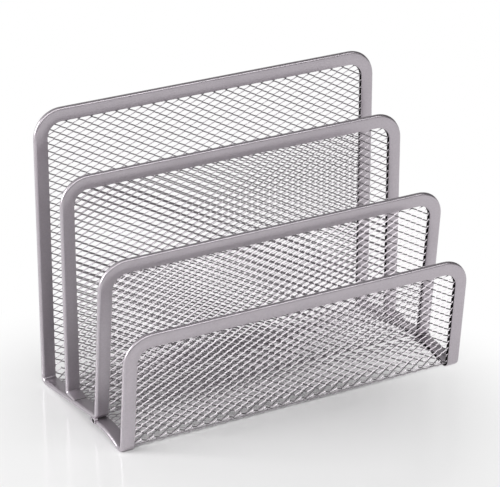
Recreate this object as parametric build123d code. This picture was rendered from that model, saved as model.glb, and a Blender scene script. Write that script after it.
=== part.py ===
from build123d import *
import math
import os

# Desk letter holder in painted expanded steel: four mesh panels, one behind the other, make three pockets.
# Every mesh edge that shows is clamped in a folded strip, a narrow U with a rounded outer fold.
# The main sheet is bent up at the rear into the back panel and at the front into the first divider.
# The front panel is a second sheet, bent at its foot, whose tail lies under the heel of that divider.
# The second divider stands on the base on two feet that are bent forwards from its strip.
# X runs along the panels, Y from the front to the back, and Z is up from the surface it stands on.

# Overall sizes in millimetres: heights are above the surface, and depths run from mesh to mesh at the foot
holder_width = 175.0
holder_depth = 78.0
front_height = 56.8
front_divider_height = 82.5
rear_divider_height = 108.5
back_height = 131.7
front_pocket = 24.4
rear_pocket = 25.0

# Degrees by which the front panel and the first divider tip forwards
front_lean_angle = 5.9
front_divider_lean_angle = 5.9

# Folded strip that edges every panel
rim_width = 6.4
strip_wall = 0.6
corner_radius = 18.0
fold_flats = 3

# Expanded mesh: diamonds with the long way level, and how the sheet sits in the strip's slot
mesh_thickness = 1.0
mesh_clearance = 0.1
mesh_edge_gap = 0.6
mesh_selvage = 1.4
mesh_long_way = 30.4
mesh_short_way = 17.2
mesh_strand = 2.4
least_opening_share = 0.12

# Bends at the foot of each panel, on the middle of the strip
bend_radius = 2.4
rim_upstand = 4.5
front_foot_run = 3.8
back_foot_run = 4.6
divider_foot = 8.0

# Arched base of the front sheet: how high its tail lies, how far it reaches, where it crests
# and the share of the shorter run beside the crest that the arch takes up
tail_rise = 2.8
tail_overlap = 5.0
crown_reach = 9.0
crown_arc_share = 0.85

cut_overrun = 1.0

# Sizes that follow from the ones above
mesh_slot = mesh_thickness + 2 * mesh_clearance
rim_thickness = mesh_slot + 2 * strip_wall
half_rim = rim_thickness / 2
half_width = holder_width / 2
mesh_inset = half_rim + mesh_edge_gap
mesh_half_width = half_width - mesh_inset
upright = Vector(0, 0, 1)


def tipped(lean):
    """Direction up a panel that tips forwards by lean degrees."""
    return Vector(0, -math.sin(math.radians(lean)), math.cos(math.radians(lean)))


# Side view, on the middle of the strip: the main sheet from the back panel's foot to the first divider's heel
back_corner = Vector(0, 0, half_rim)
base_start = Vector(0, -back_foot_run, half_rim)
heel = Vector(0, front_pocket - holder_depth, tail_rise + rim_thickness + half_rim)
forwards = (heel - base_start).normalized()
off_base = Vector(1, 0, 0).cross(-forwards)

# The front sheet: its foot stands on the surface, and its tail lies against the underside of the main sheet
front_corner = Vector(0, -holder_depth, half_rim)
ramp_start = front_corner + Vector(0, front_foot_run, 0)
crown = heel - off_base * rim_thickness + forwards * crown_reach
tail_end = heel - off_base * rim_thickness - forwards * tail_overlap
ramp = crown - ramp_start
tail = tail_end - crown
crown_turn = math.radians(ramp.get_angle(tail))
crown_radius = crown_arc_share * min(ramp.length, tail.length) / math.tan(crown_turn / 2)

# The second divider's heel lies on top of the main sheet
divider_run = (base_start.Y + off_base.Y * rim_thickness + rear_pocket) / -forwards.Y
divider_heel = base_start + off_base * rim_thickness + forwards * divider_run

front_side = [
    front_corner + tipped(front_lean_angle) * rim_upstand,
    front_corner,
    ramp_start,
    crown,
    tail_end,
]
front_bends = [bend_radius, bend_radius, crown_radius]
main_side = [
    heel + tipped(front_divider_lean_angle) * rim_upstand,
    heel,
    base_start,
    back_corner,
    back_corner + upright * rim_upstand,
]
main_bends = [bend_radius, bend_radius, bend_radius]
divider_side = [divider_heel + forwards * divider_foot, divider_heel, divider_heel + upright * rim_upstand]
divider_bends = [bend_radius]


def rim_section():
    """Cross-section of the folded strip: a half-round fold, drawn in flats, and a slot open towards +X."""
    step = math.pi / (fold_flats + 1)
    reach = half_rim / math.cos(step / 2)
    turns = [math.pi / 2 + step * (corner + 0.5) for corner in range(fold_flats + 1)]
    fold = [(half_rim + reach * math.cos(turn), reach * math.sin(turn)) for turn in turns]
    strip = Polygon(*fold, (rim_width, -half_rim), (rim_width, half_rim), align=None)
    slot = Pos(half_rim + rim_width / 2, 0) * Rectangle(rim_width, mesh_slot)
    return strip - slot


def swept(section, path):
    """Sweep a section whose X axis lies along the holder, from the start of a path."""
    start = Plane(path @ 0, x_dir=(1, 0, 0), z_dir=path % 0)
    return sweep(start * section, path=path)


def left_rail(side, bends):
    """Folded strip along the left edge of a bent sheet."""
    edge = Vector(-half_width, 0, 0)
    path = FilletPolyline(*[point + edge for point in side], radius=bends)
    return swept(rim_section(), path)


def bent_sheet(side, bends):
    """Sheet between the two rails, before its diamonds are cut."""
    path = FilletPolyline(*side, radius=bends)
    return swept(Rectangle(2 * mesh_half_width, mesh_thickness), path)


def panel_plane(corner, lean):
    """Plane of a panel, with Y up the panel from its corner and Z out of its front."""
    return Plane(corner, x_dir=(1, 0, 0), z_dir=Vector(1, 0, 0).cross(tipped(lean)))


def panel_top(corner, lean, height):
    """Length up the panel from its corner to the top edge of its strip."""
    return (height - corner.Z) / math.cos(math.radians(lean))


def rim(corner, lean, height):
    """Folded strip over the top of a panel: two uprights, two round corners and the top rail."""
    plane = panel_plane(corner, lean)
    top = panel_top(corner, lean, height)
    outline = [(-half_width, rim_upstand), (-half_width, top), (half_width, top), (half_width, rim_upstand)]
    path = FilletPolyline(*[plane.from_local_coords(point) for point in outline], radius=corner_radius)
    return swept(rim_section(), path)


def panel_outline(inset, bottom, top):
    """Outline of a panel's sheet in its own plane, drawn in by inset on every side."""
    reach = mesh_half_width - inset
    upper = top - mesh_inset - inset
    lower = bottom + inset
    face = Pos(0, (upper + lower) / 2) * Rectangle(2 * reach, upper - lower)
    return fillet(face.vertices().group_by(Axis.Y)[-1], corner_radius - mesh_inset - inset)


def diamonds(window):
    """Openings of the expanded mesh, in staggered rows about the middle of a window and clipped to it."""
    half_long = mesh_long_way / 2
    half_short = mesh_short_way / 2
    cell_inradius = half_long * half_short / math.hypot(half_long, half_short)
    opening_share = 1 - mesh_strand / 2 / cell_inradius
    reach = half_long * opening_share
    rise = half_short * opening_share
    diamond = Polygon((reach, 0), (0, rise), (-reach, 0), (0, -rise))
    least_area = least_opening_share * diamond.area
    box = window.bounding_box()
    rows = math.ceil(box.size.Y / mesh_short_way)
    columns = math.ceil(box.size.X / mesh_long_way)
    openings = []
    for row in range(-rows, rows + 1):
        for column in range(-columns, columns + 1):
            if (row + column) % 2:
                continue
            place = Pos(column * half_long, box.center().Y + row * half_short)
            clipped = place * diamond & window
            if clipped:
                openings += [face for face in clipped.faces() if face.area > least_area]
    return openings


def panel_mesh(corner, lean, height, bottom, skirt=None):
    """Flat expanded mesh of a panel, from bottom up the panel, with an optional skirt between the rails."""
    top = panel_top(corner, lean, height)
    outline = panel_outline(0, bottom, top)
    window = panel_outline(mesh_selvage, bottom, top)
    if skirt is not None:
        reach = half_width - rim_width - mesh_clearance
        overlap = bottom + mesh_selvage
        outline += Pos(0, (skirt + overlap) / 2) * Rectangle(2 * reach, overlap - skirt)
    sheet = Pos(0, 0, -mesh_thickness / 2) * (outline - diamonds(window))
    return extrude(panel_plane(corner, lean) * sheet, amount=mesh_thickness)


def base_mesh():
    """Main base sheet between the bends of the first divider and the back panel."""
    plane = Plane(heel - off_base * cut_overrun, x_dir=(1, 0, 0), z_dir=off_base)
    low = bend_radius + mesh_selvage
    high = (heel - base_start).length - mesh_selvage
    window = Pos(0, (low + high) / 2) * Rectangle(2 * (mesh_half_width - mesh_selvage), high - low)
    cuts = [extrude(plane * face, amount=2 * cut_overrun) for face in diamonds(window)]
    return bent_sheet(main_side, main_bends) - cuts


def front_base_mesh():
    """Arched base sheet of the front panel, from its foot to the tail under the first divider."""
    low = ramp_start.Y + mesh_selvage
    high = heel.Y - mesh_selvage
    window = Pos(0, (low + high) / 2) * Rectangle(2 * (mesh_half_width - mesh_selvage), high - low)
    cuts = [extrude(face, amount=heel.Z) for face in diamonds(window)]
    return bent_sheet(front_side, front_bends) - cuts


def rear_divider_rim():
    """Strip of the second divider, with a foot bent forwards from each upright onto the base."""
    foot = left_rail(divider_side, divider_bends)
    return rim(divider_heel, 0, rear_divider_height) + foot + mirror(foot, about=Plane.YZ)


def rear_divider_mesh():
    """Mesh of the second divider, whose lower edge reaches down between the rails to the base sheet."""
    slope = -forwards.Z / forwards.Y
    to_base = rim_thickness / -forwards.Y
    skirt = mesh_thickness / 2 * (1 / -forwards.Y + slope) + mesh_clearance - to_base
    return panel_mesh(divider_heel, 0, rear_divider_height, rim_upstand, skirt)


front_rail = left_rail(front_side, front_bends)
base_rail = left_rail(main_side, main_bends)

nodes = {
    "front_rim": rim(front_corner, front_lean_angle, front_height),
    "front_mesh": panel_mesh(front_corner, front_lean_angle, front_height, rim_upstand),
    "left_front_rail": front_rail,
    "right_front_rail": mirror(front_rail, about=Plane.YZ),
    "front_base_mesh": front_base_mesh(),
    "front_divider_rim": rim(heel, front_divider_lean_angle, front_divider_height),
    "front_divider_mesh": panel_mesh(heel, front_divider_lean_angle, front_divider_height, rim_upstand),
    "left_base_rail": base_rail,
    "right_base_rail": mirror(base_rail, about=Plane.YZ),
    "base_mesh": base_mesh(),
    "rear_divider_rim": rear_divider_rim(),
    "rear_divider_mesh": rear_divider_mesh(),
    "back_rim": rim(back_corner, 0, back_height),
    "back_mesh": panel_mesh(back_corner, 0, back_height, rim_upstand),
}

# The origin is the middle of the holder's outline, on the surface that it stands on
box = Compound(children=[node.solid() for node in nodes.values()]).bounding_box()
to_origin = Pos(0, -box.center().Y, -box.min.Z)

os.makedirs("parts", exist_ok=True)
for name, node in nodes.items():
    export_step(to_origin * node.solid(), f"parts/{name}.step")
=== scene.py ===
import math

import bmesh
import bpy
from bpy.props import FloatProperty, FloatVectorProperty, IntProperty, PointerProperty
from mathutils import Matrix, Vector


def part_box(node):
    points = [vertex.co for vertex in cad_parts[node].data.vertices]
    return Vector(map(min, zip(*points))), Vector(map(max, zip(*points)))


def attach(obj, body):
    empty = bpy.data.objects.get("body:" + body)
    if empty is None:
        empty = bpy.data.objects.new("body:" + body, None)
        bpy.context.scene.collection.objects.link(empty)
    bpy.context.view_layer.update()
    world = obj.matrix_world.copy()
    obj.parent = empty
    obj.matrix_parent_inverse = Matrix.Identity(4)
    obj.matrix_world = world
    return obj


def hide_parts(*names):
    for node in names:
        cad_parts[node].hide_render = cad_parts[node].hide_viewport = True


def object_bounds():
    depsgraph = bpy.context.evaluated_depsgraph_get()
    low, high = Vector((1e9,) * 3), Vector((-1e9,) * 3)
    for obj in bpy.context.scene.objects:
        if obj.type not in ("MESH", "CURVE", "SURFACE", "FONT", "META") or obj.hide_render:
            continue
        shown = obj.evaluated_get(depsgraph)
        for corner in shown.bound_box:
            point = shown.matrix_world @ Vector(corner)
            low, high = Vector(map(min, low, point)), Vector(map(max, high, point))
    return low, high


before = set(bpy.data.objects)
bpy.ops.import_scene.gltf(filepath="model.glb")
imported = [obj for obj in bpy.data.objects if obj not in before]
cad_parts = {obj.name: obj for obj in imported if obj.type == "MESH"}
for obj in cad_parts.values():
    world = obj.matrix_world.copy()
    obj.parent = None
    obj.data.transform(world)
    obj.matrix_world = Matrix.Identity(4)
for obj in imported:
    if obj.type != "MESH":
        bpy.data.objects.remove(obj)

# Desk letter holder in silver paint: expanded steel sheets, bent and clamped in folded strips.
# X runs along the panels, Y from the front to the back, Z is up, and every length is in metres.

bl_info = {
    "name": "Letter holder",
    "version": (1, 0, 0),
    "blender": (4, 5, 0),
    "location": "View3D > Sidebar > Letter holder",
    "description": "Folded strips, expanded mesh and stage of a desk letter holder",
    "category": "Object",
}

MM = 0.001
TINY = 0.01 * MM
X_AXIS = Vector((1, 0, 0))
BACKWARDS = Vector((0, 1, 0))
UPRIGHT = Vector((0, 0, 1))
QUARTER_TURN = math.pi / 2

# Width of the picture in pixels and of the camera's sensor in millimetres
IMAGE_WIDTH = 500
SENSOR_WIDTH = 36

# Facets of small round forms, and the angles below which their surfaces shade smooth
LIP_FACETS = 2
LEAST_TURN_FACETS = 3
WELD_SIDES = 20
WELD_FACETS = 3
FLOOR_SIDES = 96
STRIP_SMOOTH_ANGLE = math.radians(32)
WELD_SMOOTH_ANGLE = math.radians(50)

# Places that the frame gives
cad_low, cad_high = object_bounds()
front_rail_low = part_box("left_front_rail")[0]
base_rail_low, base_rail_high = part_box("left_base_rail")
back_rim_low, back_rim_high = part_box("back_rim")
divider_rim_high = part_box("rear_divider_rim")[1]
back_mesh_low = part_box("back_mesh")[0]

rim_thickness = back_rim_high.y - back_rim_low.y
half_rim = rim_thickness / 2

# Each end of the holder: its name, where its outer edge is and which way is inwards
ENDS = (("left", cad_low.x, X_AXIS), ("right", cad_high.x, -X_AXIS))


class StripSettings(bpy.types.PropertyGroup):
    """Folded steel strip that edges every panel"""

    width: FloatProperty(
        name="Width", description="Width of the strip on a panel's face",
        default=base_rail_high.x - base_rail_low.x, unit="LENGTH")
    thickness: FloatProperty(
        name="Thickness", description="Thickness over both walls of the fold",
        default=rim_thickness, unit="LENGTH")
    wall: FloatProperty(
        name="Wall", description="Thickness of the folded steel", default=0.4 * MM, unit="LENGTH")
    lip_round: FloatProperty(
        name="Lip round", description="Rounding of the strip's inner lips",
        default=0.12 * MM, unit="LENGTH")
    corner_radius: FloatProperty(
        name="Corner radius", description="Outer radius of a panel's top corners",
        default=13.3 * MM, unit="LENGTH")
    bend_radius: FloatProperty(
        name="Bend radius", description="Radius of the bends at a panel's foot, on the middle of the strip",
        default=2.4 * MM, unit="LENGTH")
    foot_bend: FloatProperty(
        name="Foot bend", description="Radius of the bends above the second divider's feet",
        default=1.3 * MM, unit="LENGTH")
    pressed_share: FloatProperty(
        name="Pressed toe", description="Share of the strip's thickness that is left at a pressed toe",
        default=0.15, subtype="FACTOR")
    weld_radius: FloatProperty(
        name="Weld radius", description="Radius of the weld beside a heel",
        default=1.5 * MM, unit="LENGTH")
    weld_depth: FloatProperty(
        name="Weld depth", description="Thickness of a weld's bead", default=1.8 * MM, unit="LENGTH")
    weld_rise: FloatProperty(
        name="Weld rise", description="How far a weld stands out of the strip",
        default=0.6 * MM, unit="LENGTH")
    weld_drop: FloatProperty(
        name="Weld drop", description="How far a weld lies below the middle of the heel's strip",
        default=1.5 * MM, unit="LENGTH")
    weld_setback: FloatProperty(
        name="Weld setback", description="How far a weld lies behind the heel",
        default=0.5 * MM, unit="LENGTH")
    # The pit's faces get the near-black painted shade.
    pit_radius: FloatProperty(
        name="Pit radius", description="Radius of the bare pit in a weld",
        default=1.05 * MM, unit="LENGTH")
    pit_depth: FloatProperty(
        name="Pit depth", description="Depth of the bare pit in a weld",
        default=0.2 * MM, unit="LENGTH")
    fold_steps: IntProperty(name="Fold steps", description="Facets of the rounded fold", default=10)
    turn_steps: IntProperty(name="Turn steps", description="Facets of a quarter turn", default=14)


class LayoutSettings(bpy.types.PropertyGroup):
    """Places of the panels and bends in the side view"""

    lean: FloatProperty(
        name="Lean", description="How far the front panel and the first divider tip forwards",
        default=math.radians(5.9), subtype="ANGLE")
    upstand: FloatProperty(
        name="Upstand", description="Length of rail that stands up from a bend",
        default=back_rim_low.z - half_rim, unit="LENGTH")
    front_foot: FloatProperty(
        name="Front foot", description="Flat run behind the front panel",
        default=3.8 * MM, unit="LENGTH")
    back_foot: FloatProperty(
        name="Back foot", description="Flat run in front of the back panel",
        default=4.6 * MM, unit="LENGTH")
    divider_foot: FloatProperty(
        name="Divider foot", description="Length of the second divider's feet",
        default=8 * MM, unit="LENGTH")
    tail_overlap: FloatProperty(
        name="Tail overlap", description="Reach of the front sheet behind the first divider",
        default=5 * MM, unit="LENGTH")
    crown_reach: FloatProperty(
        name="Crown reach", description="Distance of the arch's crest from the first divider",
        default=9 * MM, unit="LENGTH")
    crown_arc_share: FloatProperty(
        name="Crown arc", description="Share of the shorter run beside the crest that the arch takes up",
        default=0.85, subtype="FACTOR")


class SheetSettings(bpy.types.PropertyGroup):
    """Expanded steel sheet"""

    long_way: FloatProperty(
        name="Long way", description="Pitch of the diamonds along the panel",
        default=6.2 * MM, unit="LENGTH")
    short_way: FloatProperty(
        name="Short way", description="Pitch of the diamonds up the panel",
        default=3.5 * MM, unit="LENGTH")
    strand: FloatProperty(
        name="Strand", description="Width of a strand", default=0.46 * MM, unit="LENGTH")
    thickness: FloatProperty(
        name="Thickness", description="Thickness of the sheet", default=0.32 * MM, unit="LENGTH")
    bond: FloatProperty(
        name="Bond", description="Length of the joint between two strands",
        default=0.2 * MM, unit="LENGTH")
    tilt: FloatProperty(
        name="Tilt", description="Twist of the strands out of the sheet",
        default=math.radians(44), subtype="ANGLE")
    edge_inset: FloatProperty(
        name="Edge inset", description="Distance of the sheet's edge from the strip's outer edge",
        default=back_mesh_low.x - back_rim_low.x, unit="LENGTH")


class FinishSettings(bpy.types.PropertyGroup):
    """Silver paint, near-black painted shade for the fold insides and weld pits, and stage colours"""

    rim_colour: FloatVectorProperty(
        name="Strip paint", description="Silver paint on the folded strips",
        default=(0.475, 0.437, 0.472), min=0, max=1, subtype="COLOR")
    mesh_colour: FloatVectorProperty(
        name="Mesh paint", description="Silver paint on the expanded sheets",
        default=(0.45, 0.42, 0.447), min=0, max=1, subtype="COLOR")
    paint_roughness: FloatProperty(
        name="Paint roughness", description="Roughness of clean paint", default=0.3, subtype="FACTOR")
    paint_metallic: FloatProperty(
        name="Paint metal", description="How metallic the paint looks", default=0.85, subtype="FACTOR")
    marks_dulling: FloatProperty(
        name="Marks", description="Roughness that handling marks add", default=0.06, subtype="FACTOR")
    flake_dulling: FloatProperty(
        name="Flake", description="Roughness that the paint's flake adds",
        default=0.05, subtype="FACTOR")
    skin_strength: FloatProperty(
        name="Skin", description="How plain the sprayed skin is on the strips",
        default=0.06, subtype="FACTOR")
    skin_height: FloatProperty(
        name="Skin height", description="Height of the waves in the sprayed skin",
        default=0.05 * MM, unit="LENGTH")
    coat_weight: FloatProperty(
        name="Clear coat", description="Share of clear coat on the paint",
        default=0.2, subtype="FACTOR")
    coat_roughness: FloatProperty(
        name="Coat roughness", description="Roughness of the clear coat",
        default=0.15, subtype="FACTOR")
    # Painted shade: a near-black colour inside the folds and in the weld pits, where the slot and the pit
    # lie in shadow; its marks make it lighter in random patches.
    painted_shade_colour: FloatVectorProperty(
        name="Bare steel", description="Dull steel inside the folds and in the weld pits",
        default=(0.01, 0.009, 0.009), min=0, max=1, subtype="COLOR")
    painted_shade_marks: FloatProperty(
        name="Bare steel marks", description="How much lighter the bare steel is where it is marked",
        default=1.5)
    painted_shade_mark_density: FloatProperty(
        name="Bare steel mark density", description="Marks per metre on the bare steel", default=900)
    painted_shade_roughness: FloatProperty(
        name="Bare steel roughness", description="Roughness of the bare steel",
        default=0.7, subtype="FACTOR")
    painted_shade_gloss: FloatProperty(
        name="Bare steel gloss", description="Level of gloss on the bare steel",
        default=0.1, subtype="FACTOR")
    floor_colour: FloatVectorProperty(
        name="Floor", description="Pale table top",
        default=(0.92, 0.92, 0.92), min=0, max=1, subtype="COLOR")
    floor_roughness: FloatProperty(
        name="Floor roughness", description="Roughness of the table top",
        default=0.12, subtype="FACTOR")
    world_colour: FloatVectorProperty(
        name="Room", description="Light of the room",
        default=(1, 1, 1), min=0, max=1, subtype="COLOR")


class StageSettings(bpy.types.PropertyGroup):
    """Camera, lamps, room and floor"""

    target: FloatVectorProperty(
        name="Target", description="Point in the middle of the picture",
        default=(-1.69 * MM, 1.1 * MM, 66.21 * MM), subtype="TRANSLATION")
    azimuth: FloatProperty(
        name="Azimuth", description="Turn of the view from straight ahead, to the left",
        default=math.radians(29.775), subtype="ANGLE")
    elevation: FloatProperty(
        name="Elevation", description="Height of the view above the horizon",
        default=math.radians(23.494), subtype="ANGLE")
    distance: FloatProperty(
        name="Distance", description="Distance of the camera from the target",
        default=1131.2 * MM, unit="LENGTH")
    focal_pixels: FloatProperty(
        name="Focal length", description="Focal length in pixels of the picture",
        default=2525.3, subtype="PIXEL")
    key_power: FloatProperty(
        name="Key lamp", description="Power of the lamp above the front", default=14, unit="POWER")
    key_size: FloatVectorProperty(
        name="Key lamp size", description="Width and height of the lamp above the front",
        default=(2.4, 0.5), size=2, unit="LENGTH")
    key_place: FloatVectorProperty(
        name="Key lamp place", description="Middle of the lamp above the front",
        default=(-0.1, -0.93, 0.95), subtype="TRANSLATION")
    side_power: FloatProperty(
        name="Side lamp", description="Power of the lamp on the left", default=14, unit="POWER")
    side_size: FloatVectorProperty(
        name="Side lamp size", description="Width and height of the lamp on the left",
        default=(0.7, 0.7), size=2, unit="LENGTH")
    side_place: FloatVectorProperty(
        name="Side lamp place", description="Middle of the lamp on the left",
        default=(-1.16, 0.32, 0.5), subtype="TRANSLATION")
    side_target: FloatVectorProperty(
        name="Side lamp target", description="Point that the lamp on the left faces",
        default=(0, 0, 0.3), subtype="TRANSLATION")
    bright_side: FloatVectorProperty(
        name="Bright side", description="Way from the holder to the brightest wall of the room",
        default=(-0.55, 0.8, 0.25), subtype="DIRECTION")
    bright_strength: FloatProperty(
        name="Bright wall", description="Strength of the room's light on its bright side", default=0.5)
    bright_edge: FloatProperty(
        name="Bright edge", description="Cosine of the angle to the bright side where dimming starts",
        default=0.7)
    dim_strength: FloatProperty(
        name="Dim wall", description="Strength of the room's light on its dim side", default=0.05)
    dim_edge: FloatProperty(
        name="Dim edge", description="Cosine of the angle to the bright side where dimming ends",
        default=-0.3)
    floor_radius: FloatProperty(
        name="Floor radius", description="Reach of the table top", default=6.0, unit="LENGTH")
    fade_centre: FloatVectorProperty(
        name="Fade centre", description="Point on the floor that the fade to white goes round",
        default=(-0.06, -0.07, 0), subtype="TRANSLATION")
    fade_start: FloatProperty(
        name="Fade start", description="Distance from its centre where the fade to white starts",
        default=0.08, unit="LENGTH")
    fade_end: FloatProperty(
        name="Fade end", description="Distance from its centre where the floor is plain white",
        default=0.19, unit="LENGTH")


# Side view of the sheets

def tipped(lean):
    """Direction up a panel that tips forwards."""
    return Vector((0, -math.sin(lean), math.cos(lean)))


class SideView:
    """Points of the bent sheets on the middle of the strip, as seen from the left end."""

    def __init__(self, layout):
        lean_up = tipped(layout.lean)
        front_of_upstand = layout.upstand * lean_up.y - half_rim * lean_up.z
        self.back_corner = Vector((0, (back_rim_low.y + back_rim_high.y) / 2, half_rim))
        self.base_start = self.back_corner - BACKWARDS * layout.back_foot
        heel_z = base_rail_high.z - layout.upstand * lean_up.z + half_rim * lean_up.y
        self.heel = Vector((0, base_rail_low.y - front_of_upstand, heel_z))
        self.forwards = (self.heel - self.base_start).normalized()
        self.off_base = X_AXIS.cross(-self.forwards)

        self.front_corner = Vector((0, front_rail_low.y - front_of_upstand, half_rim))
        self.ramp_start = self.front_corner + BACKWARDS * layout.front_foot
        under_heel = self.heel - self.off_base * rim_thickness
        self.crown = under_heel + self.forwards * layout.crown_reach
        self.tail_end = under_heel - self.forwards * layout.tail_overlap

        ramp = self.crown - self.ramp_start
        tail = self.tail_end - self.crown
        arc = layout.crown_arc_share * min(ramp.length, tail.length)
        self.crown_radius = arc / math.tan(ramp.angle(tail) / 2)

        on_base = self.base_start + self.off_base * rim_thickness
        divider_y = divider_rim_high.y - half_rim
        self.divider_heel = on_base + self.forwards * ((divider_y - on_base.y) / self.forwards.y)
        self.divider_toe = self.divider_heel + self.forwards * layout.divider_foot


# Selection and placing

def start_fresh():
    """Leave edit mode with nothing selected."""
    if bpy.context.mode != "OBJECT":
        bpy.ops.object.mode_set(mode="OBJECT")
    bpy.ops.object.select_all(action="DESELECT")


def pick_points(piece, wanted):
    """Select the points of a piece in edit mode whose place passes a test."""
    bpy.ops.mesh.select_mode(type="VERT")
    bpy.ops.mesh.select_all(action="DESELECT")
    cage = bmesh.from_edit_mesh(piece.data)
    for point in cage.verts:
        if wanted(point.co):
            point.select_set(True)
    cage.select_flush_mode()
    bmesh.update_edit_mesh(piece.data)


def pick_faces(piece, wanted):
    """Select the faces of a piece in edit mode that pass a test."""
    bpy.ops.mesh.select_mode(type="FACE")
    bpy.ops.mesh.select_all(action="DESELECT")
    cage = bmesh.from_edit_mesh(piece.data)
    for face in cage.faces:
        if wanted(face):
            face.select_set(True)
    cage.select_flush_mode()
    bmesh.update_edit_mesh(piece.data)


def put(piece, place):
    """Move a piece to a place and leave that place in its mesh."""
    bpy.ops.object.mode_set(mode="OBJECT")
    piece.matrix_world = place
    bpy.ops.object.transform_apply(location=True, rotation=True, scale=True)


def apply_modifier(piece, kind, **values):
    """Add a modifier with these values and apply it."""
    modifier = piece.modifiers.new(kind.title(), kind)
    for name, value in values.items():
        setattr(modifier, name, value)
    bpy.ops.object.modifier_apply(modifier=modifier.name)


def hand_over(piece, name, node):
    """Name a finished piece and let it stand for its node, if it has one."""
    piece.name = name
    piece.data.name = name
    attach(piece, "root")
    if node:
        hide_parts(node)


# Folded strip

def rounded_turns(points, radii):
    """Each corner of a line as its straight run in, the centre and axis of its turn, and its angle."""
    taken = 0
    for before, corner, after, radius in zip(points, points[1:], points[2:], radii):
        way_in = (corner - before).normalized()
        way_out = (after - corner).normalized()
        angle = way_in.angle(way_out)
        reach = radius * math.tan(angle / 2)
        axis = way_in.cross(way_out).normalized()
        run = way_in * ((corner - before).length - taken - reach)
        centre = corner - way_in * reach + axis.cross(way_in) * radius
        taken = reach
        yield run, centre, axis, angle
    last = points[-1] - points[-2]
    yield last - last.normalized() * taken, None, None, 0


def fold_section(strip, start, inwards, heading):
    """Closed outline of the folded strip, across the start of its run, with its slot open inwards.

    A vertex group marks the inner line, which becomes the inside of the fold.
    """
    start_fresh()
    half = strip.thickness / 2
    points = 2 * strip.fold_steps
    bpy.ops.mesh.primitive_circle_add(vertices=points, radius=half, enter_editmode=True)
    bpy.ops.mesh.primitive_circle_add(vertices=points, radius=half - strip.wall)
    bpy.ops.object.vertex_group_assign_new()
    piece = bpy.context.object
    pick_points(piece, lambda place: place.x > TINY)
    bpy.ops.mesh.delete(type="VERT")
    pick_points(piece, lambda place: place.x > -TINY)
    reach = strip.width - half
    bpy.ops.mesh.extrude_region_move(TRANSFORM_OT_translate={"value": (reach, 0, 0)})
    for side in (-1, 1):
        pick_points(piece, lambda place: place.x > reach / 2 and place.y * side > 0)
        bpy.ops.mesh.edge_face_add()
    pick_points(piece, lambda place: place.x > reach / 2)
    bpy.ops.mesh.bevel(offset=strip.lip_round, segments=LIP_FACETS, affect="VERTICES")
    bpy.ops.mesh.select_all(action="SELECT")
    bpy.ops.transform.translate(value=(half, 0, 0))
    across = heading.cross(inwards)
    put(piece, Matrix.Translation(start) @ Matrix((inwards, across, heading)).transposed().to_4x4())
    return piece


def folded_strip(strip, points, radii, inwards, finishes):
    """Folded strip through the points of its outer edge, with round turns."""
    heading = (points[1] - points[0]).normalized()
    piece = fold_section(strip, points[0], inwards, heading)
    bpy.ops.object.mode_set(mode="EDIT")
    bpy.ops.mesh.select_mode(type="EDGE")
    bpy.ops.mesh.select_all(action="SELECT")
    for run, centre, axis, angle in rounded_turns(points, radii):
        bpy.ops.mesh.extrude_region_move(TRANSFORM_OT_translate={"value": run})
        if angle:
            steps = max(LEAST_TURN_FACETS, round(strip.turn_steps * angle / QUARTER_TURN))
            bpy.ops.mesh.spin(steps=steps, angle=-angle, center=centre, axis=axis)
    bpy.ops.mesh.select_all(action="SELECT")
    bpy.ops.mesh.remove_doubles(threshold=TINY)
    bpy.ops.mesh.select_all(action="DESELECT")
    bpy.ops.mesh.select_non_manifold()
    bpy.ops.mesh.edge_face_add()
    bpy.ops.mesh.select_all(action="SELECT")
    bpy.ops.mesh.normals_make_consistent(inside=False)
    paint_fold(piece, finishes)
    bpy.ops.object.mode_set(mode="OBJECT")
    bpy.ops.object.shade_smooth_by_angle(angle=STRIP_SMOOTH_ANGLE)
    return piece


def paint_fold(piece, finishes):
    """Paint a folded strip in edit mode, and paint the inside of its fold near-black as painted shade."""
    for finish in finishes:
        piece.data.materials.append(finish)
    bpy.ops.mesh.select_mode(type="VERT")
    bpy.ops.mesh.select_all(action="DESELECT")
    bpy.ops.object.vertex_group_select()
    # The inside of the fold gets the near-black painted shade.
    apply_painted_shade(piece)
    bpy.ops.object.vertex_group_remove(all=True)


def apply_painted_shade(piece):
    """Give the selected faces of a piece in edit mode its second finish, the near-black painted shade."""
    piece.active_material_index = 1
    bpy.ops.object.material_slot_assign()


def press_toes(piece, side, share):
    """Press the ends of the second divider's feet down to a share of their thickness."""
    bpy.ops.object.mode_set(mode="EDIT")
    underside = side.divider_toe - side.off_base * half_rim

    def at_toe(place):
        past = place - underside
        return past.dot(side.forwards) > -TINY and past.dot(side.off_base) < 2 * half_rim + TINY

    pick_points(piece, at_toe)
    bpy.ops.transform.resize(value=(1, 1, share), center_override=underside)
    bpy.ops.object.mode_set(mode="OBJECT")


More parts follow.
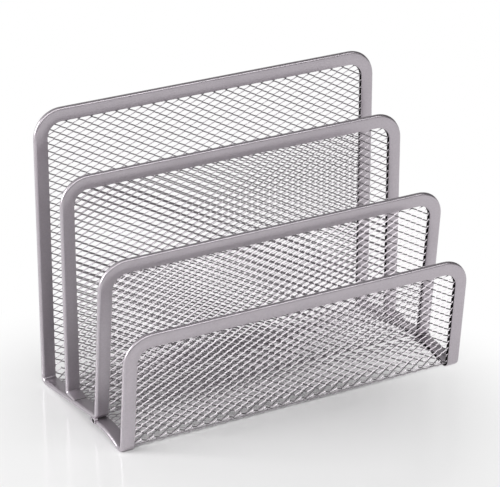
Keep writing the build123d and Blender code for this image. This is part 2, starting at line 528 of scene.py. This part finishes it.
def weld_bead(strip, place, outwards, finishes):
    """Spot weld: a low round bead with a pit in the middle, painted near-black as shade."""
    start_fresh()
    top = strip.weld_depth / 2
    bpy.ops.mesh.primitive_cylinder_add(
        vertices=WELD_SIDES, radius=strip.weld_radius, depth=strip.weld_depth, enter_editmode=True)
    piece = bpy.context.object
    for finish in finishes:
        piece.data.materials.append(finish)
    pick_faces(piece, lambda face: face.calc_center_median().z > top - TINY)
    bpy.ops.mesh.inset(thickness=strip.weld_radius - strip.pit_radius)
    bpy.ops.mesh.extrude_region_move(TRANSFORM_OT_translate={"value": (0, 0, -strip.pit_depth)})
    rings = ((strip.weld_radius, strip.weld_rise / 2), (strip.pit_radius, strip.pit_depth / 2))
    for ring, rounding in rings:
        pick_points(piece, lambda spot: spot.z > top - TINY and abs(spot.xy.length - ring) < TINY)
        bpy.ops.mesh.bevel(offset=rounding, segments=WELD_FACETS, affect="EDGES")
    pit_floor = top - strip.pit_depth - TINY
    pit_side = strip.pit_radius + TINY
    # Paint the pit's wall and floor near-black as shade.
    pick_points(piece, lambda spot: spot.z > pit_floor and spot.xy.length < pit_side)
    apply_painted_shade(piece)
    sunk = place + outwards * (strip.weld_rise - top)
    put(piece, Matrix.Translation(sunk) @ outwards.to_track_quat("Z", "Y").to_matrix().to_4x4())
    bpy.ops.object.shade_smooth_by_angle(angle=WELD_SMOOTH_ANGLE)
    return piece


# Silver paint

def new_group(name, inputs, outputs):
    """Empty shader node group with these sockets, and its input and output nodes."""
    tree = bpy.data.node_groups.new(name, "ShaderNodeTree")
    for socket, kind, value in inputs:
        made = tree.interface.new_socket(name=socket, in_out="INPUT", socket_type=kind)
        if value is not None:
            made.default_value = value
    for socket, kind in outputs:
        tree.interface.new_socket(name=socket, in_out="OUTPUT", socket_type=kind)
    return tree, tree.nodes.new("NodeGroupInput"), tree.nodes.new("NodeGroupOutput")


def add_node(tree, kind, links=(), **values):
    """Add a node, set its values and link its inputs from other nodes' outputs."""
    node = tree.nodes.new(kind)
    for name, value in values.items():
        setattr(node, name, value)
    for socket, source in links:
        if isinstance(source, bpy.types.NodeSocket):
            tree.links.new(source, node.inputs[socket])
        else:
            node.inputs[socket].default_value = source
    return node


def metal_flake():
    """Aluminium flake in silver paint: each tiny flake is a little lighter or darker than the next."""
    if "metal_flake" in bpy.data.node_groups:
        return bpy.data.node_groups["metal_flake"]
    tree, given, result = new_group(
        "metal_flake",
        (("Place", "NodeSocketVector", None), ("Paint", "NodeSocketColor", None),
         ("Flakes per Metre", "NodeSocketFloat", 2200.0), ("Contrast", "NodeSocketFloat", 0.1)),
        (("Color", "NodeSocketColor"), ("Grain", "NodeSocketFloat")))
    cells = add_node(tree, "ShaderNodeTexVoronoi", (
        ("Vector", given.outputs["Place"]), ("Scale", given.outputs["Flakes per Metre"])))
    grain = add_node(tree, "ShaderNodeSeparateColor", (("Color", cells.outputs["Color"]),))
    middle_grain = 0.5
    centred = add_node(tree, "ShaderNodeMath", (
        (0, grain.outputs[0]), (1, middle_grain)), operation="SUBTRACT")
    tone = add_node(tree, "ShaderNodeMath", (
        (0, centred.outputs[0]), (1, given.outputs["Contrast"]), (2, 1.0)), operation="MULTIPLY_ADD")
    colour = add_node(tree, "ShaderNodeVectorMath", (
        (0, given.outputs["Paint"]), ("Scale", tone.outputs[0])), operation="SCALE")
    tree.links.new(colour.outputs[0], result.inputs["Color"])
    tree.links.new(grain.outputs[0], result.inputs["Grain"])
    return tree


def handling_marks():
    """Cloudy marks that hands leave on paint, from none at 0 to plain at 1."""
    if "handling_marks" in bpy.data.node_groups:
        return bpy.data.node_groups["handling_marks"]
    tree, given, result = new_group(
        "handling_marks",
        (("Place", "NodeSocketVector", None), ("Marks per Metre", "NodeSocketFloat", 60.0)),
        (("Mask", "NodeSocketFloat"),))
    clouds = add_node(tree, "ShaderNodeTexNoise", (
        ("Vector", given.outputs["Place"]), ("Scale", given.outputs["Marks per Metre"]),
        ("Detail", 3.0), ("Roughness", 0.6)))
    mask = add_node(tree, "ShaderNodeMapRange", (
        ("Value", clouds.outputs[0]), ("From Min", 0.4), ("From Max", 0.72)))
    tree.links.new(mask.outputs["Result"], result.inputs["Mask"])
    return tree


def sprayed_skin():
    """Fine waves that sprayed paint dries with."""
    if "sprayed_skin" in bpy.data.node_groups:
        return bpy.data.node_groups["sprayed_skin"]
    tree, given, result = new_group(
        "sprayed_skin",
        (("Place", "NodeSocketVector", None), ("Waves per Metre", "NodeSocketFloat", 700.0)),
        (("Height", "NodeSocketFloat"),))
    waves = add_node(tree, "ShaderNodeTexNoise", (
        ("Vector", given.outputs["Place"]), ("Scale", given.outputs["Waves per Metre"]),
        ("Detail", 1.0)))
    tree.links.new(waves.outputs[0], result.inputs["Height"])
    return tree


def silver_paint(name, colour, finish, skin):
    """Semi-gloss silver paint with flake, handling marks and a sprayed skin."""
    if name in bpy.data.materials:
        return bpy.data.materials[name]
    paint = bpy.data.materials.new(name)
    paint.use_nodes = True
    tree = paint.node_tree
    shader = tree.nodes["Principled BSDF"]
    place = add_node(tree, "ShaderNodeTexCoord").outputs["Object"]
    flake = add_node(tree, "ShaderNodeGroup", node_tree=metal_flake())
    marks = add_node(tree, "ShaderNodeGroup", node_tree=handling_marks())
    waves = add_node(tree, "ShaderNodeGroup", node_tree=sprayed_skin())
    for group in (flake, marks, waves):
        tree.links.new(place, group.inputs["Place"])
    flake.inputs["Paint"].default_value = (*colour, 1)
    dulled = add_node(tree, "ShaderNodeMath", (
        (0, marks.outputs["Mask"]), (1, finish.marks_dulling), (2, finish.paint_roughness)),
        operation="MULTIPLY_ADD")
    rough = add_node(tree, "ShaderNodeMath", (
        (0, flake.outputs["Grain"]), (1, finish.flake_dulling), (2, dulled.outputs[0])),
        operation="MULTIPLY_ADD")
    bump = add_node(tree, "ShaderNodeBump", (
        ("Height", waves.outputs["Height"]), ("Strength", skin), ("Distance", finish.skin_height)))
    tree.links.new(flake.outputs["Color"], shader.inputs["Base Color"])
    tree.links.new(rough.outputs[0], shader.inputs["Roughness"])
    tree.links.new(bump.outputs["Normal"], shader.inputs["Normal"])
    shader.inputs["Metallic"].default_value = finish.paint_metallic
    shader.inputs["Coat Weight"].default_value = finish.coat_weight
    shader.inputs["Coat Roughness"].default_value = finish.coat_roughness
    return paint


def bare_steel(finish):
    """Near-black painted shade for the slot inside a fold and a weld's pit, lighter in random patches."""
    if "bare_steel" in bpy.data.materials:
        return bpy.data.materials["bare_steel"]
    steel = bpy.data.materials.new("bare_steel")
    steel.use_nodes = True
    tree = steel.node_tree
    shader = tree.nodes["Principled BSDF"]
    place = add_node(tree, "ShaderNodeTexCoord").outputs["Object"]
    marks = add_node(tree, "ShaderNodeGroup", node_tree=handling_marks())
    tree.links.new(place, marks.inputs["Place"])
    marks.inputs["Marks per Metre"].default_value = finish.painted_shade_mark_density
    tone = add_node(tree, "ShaderNodeMath", (
        (0, marks.outputs["Mask"]), (1, finish.painted_shade_marks), (2, 1.0)), operation="MULTIPLY_ADD")
    tinted = add_node(tree, "ShaderNodeVectorMath", (
        (0, finish.painted_shade_colour), ("Scale", tone.outputs[0])), operation="SCALE")
    tree.links.new(tinted.outputs[0], shader.inputs["Base Color"])
    shader.inputs["Roughness"].default_value = finish.painted_shade_roughness
    shader.inputs["Specular IOR Level"].default_value = finish.painted_shade_gloss
    return steel


def strip_finishes(finish):
    """Paint of the folded strips, and the near-black painted shade inside their folds."""
    paint = silver_paint("silver_paint_strips", finish.rim_colour, finish, finish.skin_strength)
    return paint, bare_steel(finish)


# Expanded sheet

def diamond_unit(sheet):
    """One bond of the expanded sheet with its four half strands, and its staggered neighbour."""
    start_fresh()
    half_bond = sheet.bond / 2
    middle = Vector((sheet.long_way / 4, sheet.short_way / 4, 0))
    along = Vector((sheet.long_way / 2 - sheet.bond, sheet.short_way / 2 - sheet.strand, 0))
    along.normalize()
    flat = math.cos(sheet.tilt)
    sunk = -math.sin(sheet.tilt)
    across = Vector((-along.y * flat, along.x * flat, sunk))
    upper_edge = Vector((0, flat, sunk)) * sheet.strand

    bpy.ops.mesh.primitive_plane_add(size=1, enter_editmode=True)
    piece = bpy.context.object
    bpy.ops.transform.resize(value=(sheet.bond, sheet.strand, 1))
    bpy.ops.transform.translate(value=(0, sheet.strand / 2, 0))
    pick_points(piece, lambda place: place.y > TINY)
    bpy.ops.transform.translate(value=upper_edge - Vector((0, sheet.strand, 0)))
    for side in (-1, 1):
        mirrored = Vector((side, 1, 1))
        foot = Vector((side * half_bond, 0, 0))
        low_end = (middle - across * sheet.strand / 2) * mirrored
        high_end = (middle + across * sheet.strand / 2) * mirrored
        pick_points(piece, lambda place: place.x * side > half_bond - TINY)
        bpy.ops.mesh.extrude_region_move(TRANSFORM_OT_translate={"value": low_end - foot})
        end_top = low_end + upper_edge
        pick_points(piece, lambda place: (place - end_top).length < TINY)
        bpy.ops.transform.translate(value=high_end - end_top)
    bpy.ops.mesh.select_all(action="SELECT")
    bpy.ops.mesh.duplicate()
    bpy.ops.transform.rotate(value=math.pi, orient_axis="X", center_override=(0, 0, 0))
    bpy.ops.mesh.select_all(action="SELECT")
    bpy.ops.mesh.duplicate_move(
        TRANSFORM_OT_translate={"value": (sheet.long_way / 2, sheet.short_way / 2, 0)})
    bpy.ops.mesh.select_all(action="SELECT")
    bpy.ops.mesh.remove_doubles(threshold=TINY)
    bpy.ops.mesh.normals_make_consistent(inside=False)
    bpy.ops.object.mode_set(mode="OBJECT")
    return piece


def in_outline(place, half, start, end, round_start, round_end, radius):
    """Whether a place on the flat sheet lies within the sheet's outline, with its round corners."""
    along = abs(place.x)
    if along > half + TINY or place.y < start - TINY or place.y > end + TINY:
        return False
    from_side = half - along
    for from_end, is_round in ((place.y - start, round_start), (end - place.y, round_end)):
        if is_round and from_side < radius and from_end < radius:
            if math.hypot(radius - from_side, radius - from_end) > radius:
                return False
    return True


def bend_line(name, points, radii, steps):
    """Line on the middle of a bent sheet, with its bends as arcs of short chords."""
    line = [points[0]]
    for run, centre, axis, angle in rounded_turns(points, radii):
        line.append(line[-1] + run)
        if angle:
            spoke = line[-1] - centre
            for step in range(1, steps + 1):
                turn = Matrix.Rotation(angle * step / steps, 3, axis)
                line.append(centre + turn @ spoke)
    curve = bpy.data.curves.new(name, "CURVE")
    curve.dimensions = "3D"
    spline = curve.splines.new("POLY")
    spline.points.add(len(line) - 1)
    for point, place in zip(spline.points, line):
        point.co = (*place, 1)
    way = bpy.data.objects.new(name, curve)
    bpy.context.scene.collection.objects.link(way)
    return way, sum((after - before).length for before, after in zip(line, line[1:]))


def nearest_row(sheet, length):
    """The row of strand middles, half a row past the bonds, that lies nearest to a length on the sheet."""
    row = sheet.short_way / 2
    middle = row / 2
    return round((length - middle) / row) * row + middle


def expanded_sheet(sheet, strip, way, start, end, round_start, round_end):
    """Stretch of a bent expanded sheet, between two lengths along the line on its middle."""
    half = cad_high.x - sheet.edge_inset
    radius = strip.corner_radius - sheet.edge_inset
    piece = diamond_unit(sheet)
    columns = 2 * math.ceil(half / sheet.long_way) + 1
    first_row = math.floor(start / sheet.short_way) - 1
    rows = math.ceil(end / sheet.short_way) - first_row + 1
    apply_modifier(
        piece, "ARRAY", count=columns, use_relative_offset=False, use_constant_offset=True,
        constant_offset_displace=(sheet.long_way, 0, 0))
    apply_modifier(
        piece, "ARRAY", count=rows, use_relative_offset=False, use_constant_offset=True,
        constant_offset_displace=(0, sheet.short_way, 0))
    bpy.ops.object.mode_set(mode="EDIT")
    bpy.ops.mesh.select_all(action="SELECT")
    bpy.ops.transform.translate(
        value=(-(columns - 1) / 2 * sheet.long_way, first_row * sheet.short_way, 0))
    bpy.ops.mesh.remove_doubles(threshold=TINY)

    def outside(face):
        places = [point.co for point in face.verts]
        return not all(
            in_outline(place, half, start, end, round_start, round_end, radius) for place in places)

    pick_faces(piece, outside)
    bpy.ops.mesh.delete(type="FACE")
    bpy.ops.mesh.select_mode(type="VERT")
    bpy.ops.mesh.select_all(action="DESELECT")
    bpy.ops.mesh.select_non_manifold(
        use_wire=False, use_boundary=False, use_multi_face=False, use_non_contiguous=False)
    bpy.ops.mesh.edge_split(type="VERT")
    bpy.ops.object.mode_set(mode="OBJECT")
    apply_modifier(piece, "SOLIDIFY", thickness=sheet.thickness, offset=0)
    put(piece, Matrix.Rotation(QUARTER_TURN, 4, "Y"))
    apply_modifier(piece, "CURVE", object=way, deform_axis="POS_Y")
    return piece


class HolderOperator:
    """Shared by the operators that make a part of the letter holder"""

    bl_options = {"REGISTER", "UNDO"}


class LETTERHOLDER_OT_panel_strips(HolderOperator, bpy.types.Operator):
    """Fold a strip over the top and sides of each panel"""

    bl_idname = "letter_holder.panel_strips"
    bl_label = "Panel strips"

    def execute(self, context):
        scene = context.scene
        strip = scene.holder_strip
        layout = scene.holder_layout
        side = SideView(layout)
        finishes = strip_finishes(scene.holder_finish)
        left, right = (X_AXIS * edge for end, edge, inwards in ENDS)
        panels = (
            ("front", side.front_corner, layout.lean),
            ("front_divider", side.heel, layout.lean),
            ("back", side.back_corner, 0),
        )
        for panel, corner, lean in panels:
            top_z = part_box(panel + "_rim")[1].z
            foot = corner + tipped(lean) * layout.upstand
            top = corner + tipped(lean) * ((top_z - corner.z) / math.cos(lean))
            points = [foot + left, top + left, top + right, foot + right]
            piece = folded_strip(strip, points, [strip.corner_radius] * 2, X_AXIS, finishes)
            hand_over(piece, panel + "_strip", panel + "_rim")
        top = Vector((0, side.divider_heel.y, divider_rim_high.z))
        points = [
            side.divider_toe + left, side.divider_heel + left, top + left,
            top + right, side.divider_heel + right, side.divider_toe + right,
        ]
        radii = [strip.foot_bend, strip.corner_radius, strip.corner_radius, strip.foot_bend]
        piece = folded_strip(strip, points, radii, X_AXIS, finishes)
        press_toes(piece, side, strip.pressed_share)
        hand_over(piece, "rear_divider_strip", "rear_divider_rim")
        return {"FINISHED"}


class LETTERHOLDER_OT_rail_strips(HolderOperator, bpy.types.Operator):
    """Fold a strip along each end of the two bent bases"""

    bl_idname = "letter_holder.rail_strips"
    bl_label = "Rail strips"

    def execute(self, context):
        scene = context.scene
        strip = scene.holder_strip
        layout = scene.holder_layout
        side = SideView(layout)
        finishes = strip_finishes(scene.holder_finish)
        bend = strip.bend_radius
        lean_up = tipped(layout.lean) * layout.upstand
        front = [
            side.front_corner + lean_up, side.front_corner, side.ramp_start, side.crown, side.tail_end,
        ]
        main = [
            side.heel + lean_up, side.heel, side.base_start, side.back_corner,
            side.back_corner + UPRIGHT * layout.upstand,
        ]
        rails = (
            ("front_rail", front, [bend, bend, side.crown_radius]),
            ("base_rail", main, [bend, bend, bend]),
        )
        for rail, line, radii in rails:
            for end, edge, inwards in ENDS:
                points = [point + X_AXIS * edge for point in line]
                piece = folded_strip(strip, points, radii, inwards, finishes)
                node = f"{end}_{rail}"
                hand_over(piece, node + "_strip", node)
        return {"FINISHED"}


class LETTERHOLDER_OT_heel_welds(HolderOperator, bpy.types.Operator):
    """Weld the front sheet's tail to the first divider at each end of its heel"""

    bl_idname = "letter_holder.heel_welds"
    bl_label = "Heel welds"

    def execute(self, context):
        scene = context.scene
        strip = scene.holder_strip
        side = SideView(scene.holder_layout)
        finishes = strip_finishes(scene.holder_finish)
        seam = side.heel - side.off_base * strip.weld_drop - side.forwards * strip.weld_setback
        for end, edge, inwards in ENDS:
            piece = weld_bead(strip, seam + X_AXIS * edge, -inwards, finishes)
            hand_over(piece, end + "_heel_weld", None)
        return {"FINISHED"}


class LETTERHOLDER_OT_expanded_sheets(HolderOperator, bpy.types.Operator):
    """Expand, trim and bend the mesh sheets of the panels and bases"""

    bl_idname = "letter_holder.expanded_sheets"
    bl_label = "Expanded sheets"

    def execute(self, context):
        scene = context.scene
        strip = scene.holder_strip
        sheet = scene.holder_sheet
        layout = scene.holder_layout
        side = SideView(layout)
        finish = scene.holder_finish
        paint = silver_paint("silver_paint_mesh", finish.mesh_colour, finish, 0)
        bend = strip.bend_radius

        def mesh_top(panel, corner, lean):
            """Middle of the upper edge of a panel's sheet."""
            top_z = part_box(panel + "_rim")[1].z
            return corner + tipped(lean) * ((top_z - corner.z) / math.cos(lean) - sheet.edge_inset)

        def panel_length(top, corner):
            """Length of a panel's sheet down to its seam with the base."""
            return nearest_row(sheet, (top - corner).length - layout.upstand)

        front_top = mesh_top("front", side.front_corner, layout.lean)
        front = [front_top, side.front_corner, side.ramp_start, side.crown, side.tail_end]
        way, length = bend_line("front_way", front, [bend, bend, side.crown_radius], strip.turn_steps)
        seam = panel_length(front_top, side.front_corner)
        self.make(sheet, strip, paint, way, "front_mesh", 0, seam, round_start=True)
        self.make(sheet, strip, paint, way, "front_base_mesh", seam, length)
        bpy.data.objects.remove(way)

        first_top = mesh_top("front_divider", side.heel, layout.lean)
        back_top = mesh_top("back", side.back_corner, 0)
        main = [first_top, side.heel, side.base_start, side.back_corner, back_top]
        way, length = bend_line("main_way", main, [bend, bend, bend], strip.turn_steps)
        heel_seam = panel_length(first_top, side.heel)
        back_seam = nearest_row(sheet, length - (back_top - side.back_corner).length + layout.upstand)
        self.make(sheet, strip, paint, way, "front_divider_mesh", 0, heel_seam, round_start=True)
        self.make(sheet, strip, paint, way, "base_mesh", heel_seam, back_seam)
        self.make(sheet, strip, paint, way, "back_mesh", back_seam, length, round_end=True)
        bpy.data.objects.remove(way)

        divider_top = mesh_top("rear_divider", side.divider_heel, 0)
        divider_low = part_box("rear_divider_mesh")[0].z
        divider = [divider_top, Vector((0, divider_top.y, divider_low))]
        way, length = bend_line("divider_way", divider, [], strip.turn_steps)
        self.make(sheet, strip, paint, way, "rear_divider_mesh", 0, length, round_start=True)
        bpy.data.objects.remove(way)
        return {"FINISHED"}

    def make(self, sheet, strip, paint, way, node, start, end, round_start=False, round_end=False):
        """Make one stretch of a sheet and let it stand for its node."""
        piece = expanded_sheet(sheet, strip, way, start, end, round_start, round_end)
        piece.data.materials.append(paint)
        hand_over(piece, node.replace("_mesh", "_expanded_mesh"), node)


class LETTERHOLDER_OT_stage(HolderOperator, bpy.types.Operator):
    """Set the pale floor, the soft lamps and the camera"""

    bl_idname = "letter_holder.stage"
    bl_label = "Stage"

    def execute(self, context):
        scene = context.scene
        stage = scene.holder_stage
        finish = scene.holder_finish
        start_fresh()
        bpy.ops.mesh.primitive_circle_add(
            vertices=FLOOR_SIDES, radius=stage.floor_radius, fill_type="NGON")
        floor = context.object
        floor.name = "floor"
        floor.data.materials.append(table_top(stage, finish))
        room_light(scene, stage, finish.world_colour)
        add_lamp("key_lamp", stage.key_power, stage.key_size, stage.key_place, stage.target)
        add_lamp("side_lamp", stage.side_power, stage.side_size, stage.side_place, stage.side_target)
        add_camera(scene, stage)
        return {"FINISHED"}


def table_top(stage, finish):
    """Pale glossy table top that fades to plain white away from the holder, where the camera sees it."""
    paint = bpy.data.materials.new("pale_table_top")
    paint.use_nodes = True
    tree = paint.node_tree
    shader = tree.nodes["Principled BSDF"]
    shader.inputs["Base Color"].default_value = (*finish.floor_colour, 1)
    shader.inputs["Roughness"].default_value = finish.floor_roughness
    place = add_node(tree, "ShaderNodeTexCoord").outputs["Object"]
    reach = add_node(tree, "ShaderNodeVectorMath", (
        (0, place), (1, stage.fade_centre)), operation="DISTANCE")
    away = add_node(tree, "ShaderNodeMapRange", (
        ("Value", reach.outputs["Value"]), ("From Min", stage.fade_start), ("From Max", stage.fade_end)),
        interpolation_type="SMOOTHSTEP")
    rays = add_node(tree, "ShaderNodeLightPath").outputs
    shown = rays["Is Camera Ray"]
    for kind in ("Is Glossy Ray", "Is Transmission Ray"):
        either = add_node(tree, "ShaderNodeMath", ((0, shown), (1, rays[kind])), operation="MAXIMUM")
        shown = either.outputs[0]
    share = add_node(tree, "ShaderNodeMath", (
        (0, shown), (1, away.outputs["Result"])), operation="MULTIPLY")
    white = add_node(tree, "ShaderNodeEmission")
    white.inputs["Color"].default_value = (1, 1, 1, 1)
    mixed = add_node(tree, "ShaderNodeMixShader", (
        (0, share.outputs[0]), (1, shader.outputs["BSDF"]), (2, white.outputs["Emission"])))
    tree.links.new(mixed.outputs["Shader"], tree.nodes["Material Output"].inputs["Surface"])
    return paint


def room_light(scene, stage, colour):
    """Soft light of a white room whose walls grow dim away from the bright side."""
    room = bpy.data.worlds.new("white_room")
    scene.world = room
    room.use_nodes = True
    tree = room.node_tree
    way = add_node(tree, "ShaderNodeTexCoord").outputs["Generated"]
    bright_way = Vector(stage.bright_side).normalized()
    towards = add_node(tree, "ShaderNodeVectorMath", (
        (0, way), (1, bright_way)), operation="DOT_PRODUCT")
    strength = add_node(tree, "ShaderNodeMapRange", (
        ("Value", towards.outputs["Value"]), ("From Min", stage.dim_edge), ("From Max", stage.bright_edge),
        ("To Min", stage.dim_strength), ("To Max", stage.bright_strength)),
        interpolation_type="SMOOTHSTEP")
    background = tree.nodes["Background"]
    background.inputs["Color"].default_value = (*colour, 1)
    tree.links.new(strength.outputs["Result"], background.inputs["Strength"])


def aim(thing, place, target):
    """Place a lamp or camera and point it at a target."""
    thing.location = place
    thing.rotation_euler = (target - place).to_track_quat("-Z", "Y").to_euler()


def add_lamp(name, power, size, place, target):
    """Soft lamp with a width and a height."""
    bpy.ops.object.light_add(type="AREA")
    lamp = bpy.context.object
    lamp.name = name
    lamp.data.energy = power
    lamp.data.shape = "RECTANGLE"
    lamp.data.size, lamp.data.size_y = size
    aim(lamp, Vector(place), Vector(target))


def add_camera(scene, stage):
    """Camera at the photograph's viewing angle."""
    bpy.ops.object.camera_add()
    camera = bpy.context.object
    camera.name = "photo_camera"
    camera.data.sensor_width = SENSOR_WIDTH
    camera.data.lens = stage.focal_pixels * SENSOR_WIDTH / IMAGE_WIDTH
    target = Vector(stage.target)
    level = math.cos(stage.elevation)
    away = Vector((
        -math.sin(stage.azimuth) * level, -math.cos(stage.azimuth) * level, math.sin(stage.elevation)))
    aim(camera, target + away * stage.distance, target)
    scene.camera = camera


class LETTERHOLDER_PT_sidebar(bpy.types.Panel):
    """Steps and sizes of the letter holder"""

    bl_idname = "LETTERHOLDER_PT_sidebar"
    bl_label = "Letter holder"
    bl_space_type = "VIEW_3D"
    bl_region_type = "UI"
    bl_category = "Letter holder"

    def draw(self, context):
        for step in STEPS:
            self.layout.operator(step.bl_idname)
        for name, group in SETTINGS.items():
            box = self.layout.box()
            for field in group.__annotations__:
                box.prop(getattr(context.scene, name), field)


SETTINGS = {
    "holder_strip": StripSettings,
    "holder_layout": LayoutSettings,
    "holder_sheet": SheetSettings,
    "holder_finish": FinishSettings,
    "holder_stage": StageSettings,
}
STEPS = (
    LETTERHOLDER_OT_panel_strips,
    LETTERHOLDER_OT_rail_strips,
    LETTERHOLDER_OT_heel_welds,
    LETTERHOLDER_OT_expanded_sheets,
    LETTERHOLDER_OT_stage,
)


def register():
    """Register the settings, the operators and the sidebar."""
    for name, group in SETTINGS.items():
        bpy.utils.register_class(group)
        setattr(bpy.types.Scene, name, PointerProperty(type=group))
    for step in STEPS:
        bpy.utils.register_class(step)
    bpy.utils.register_class(LETTERHOLDER_PT_sidebar)


def unregister():
    """Take the settings, the operators and the sidebar away again."""
    bpy.utils.unregister_class(LETTERHOLDER_PT_sidebar)
    for step in reversed(STEPS):
        bpy.utils.unregister_class(step)
    for name, group in SETTINGS.items():
        delattr(bpy.types.Scene, name)
        bpy.utils.unregister_class(group)


def main():
    """Make the letter holder and its stage."""
    register()
    bpy.context.scene.view_settings.view_transform = "Standard"
    bpy.ops.letter_holder.panel_strips()
    bpy.ops.letter_holder.rail_strips()
    bpy.ops.letter_holder.heel_welds()
    bpy.ops.letter_holder.expanded_sheets()
    bpy.ops.letter_holder.stage()
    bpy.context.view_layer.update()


if __name__ == "__main__":
    main()
